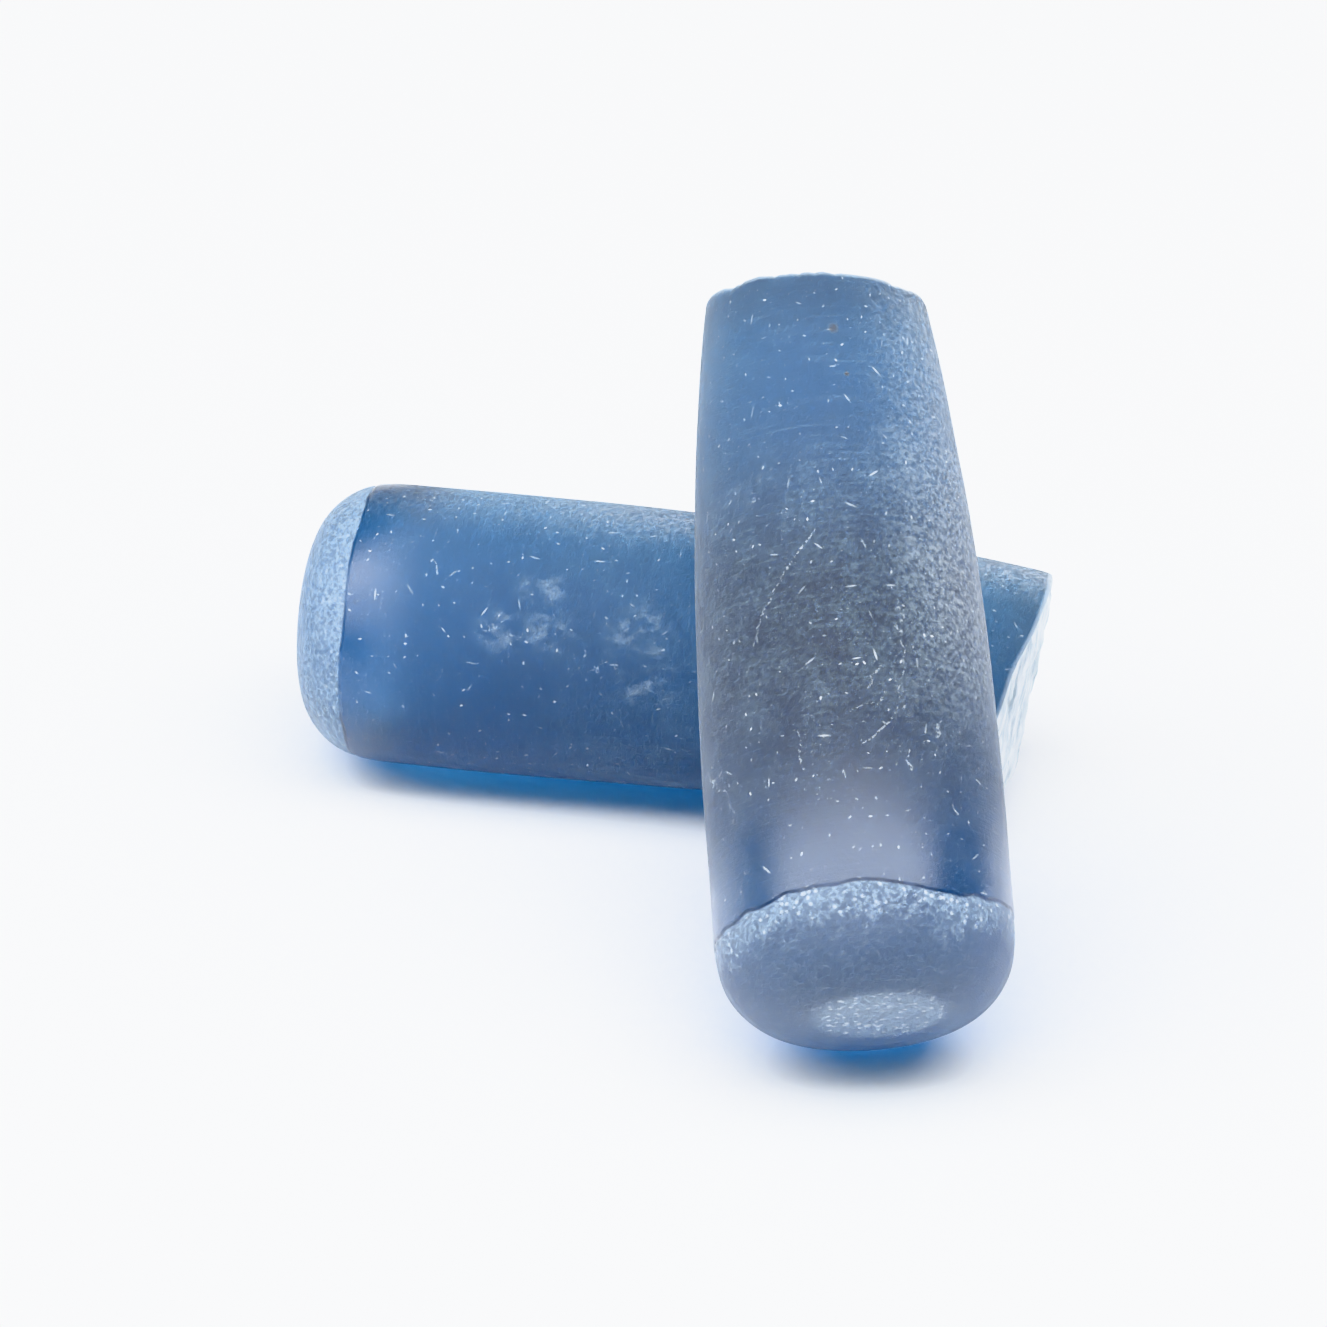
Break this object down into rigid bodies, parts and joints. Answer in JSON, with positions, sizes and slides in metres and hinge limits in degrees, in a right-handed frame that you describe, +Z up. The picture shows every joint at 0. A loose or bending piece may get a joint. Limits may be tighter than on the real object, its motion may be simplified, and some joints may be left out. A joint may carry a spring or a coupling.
{
  "type": "guitar slide",
  "caption": "Solid frosted blue glass bars with domed noses and broken ends, one leaning on the other, held in the hand to slide along guitar strings.",
  "frame": {"origin": "under the middle of the pair, on the surface that both bars rest on", "axes": "+X along the lying bar from its nose to its broken end, +Z up; the leaning bar crosses it from -Y, nose down"},
  "size_m": [0.068, 0.064, 0.0527],
  "materials": {
    "frosted_blue_glass": "frosted and scratched, deep blue within, with a paler ground cap at the nose"
  },
  "bodies": {
    "lying_slide": {"lying_slide": "frosted_blue_glass"},
    "leaning_slide": {"leaning_slide": "frosted_blue_glass"}
  },
  "joints": [
    {"name": "lift_off", "type": "slide", "parent": "lying_slide", "child": "leaning_slide", "axis": [0, 0, 1], "range_m": [0, 0.04]}
  ]
}
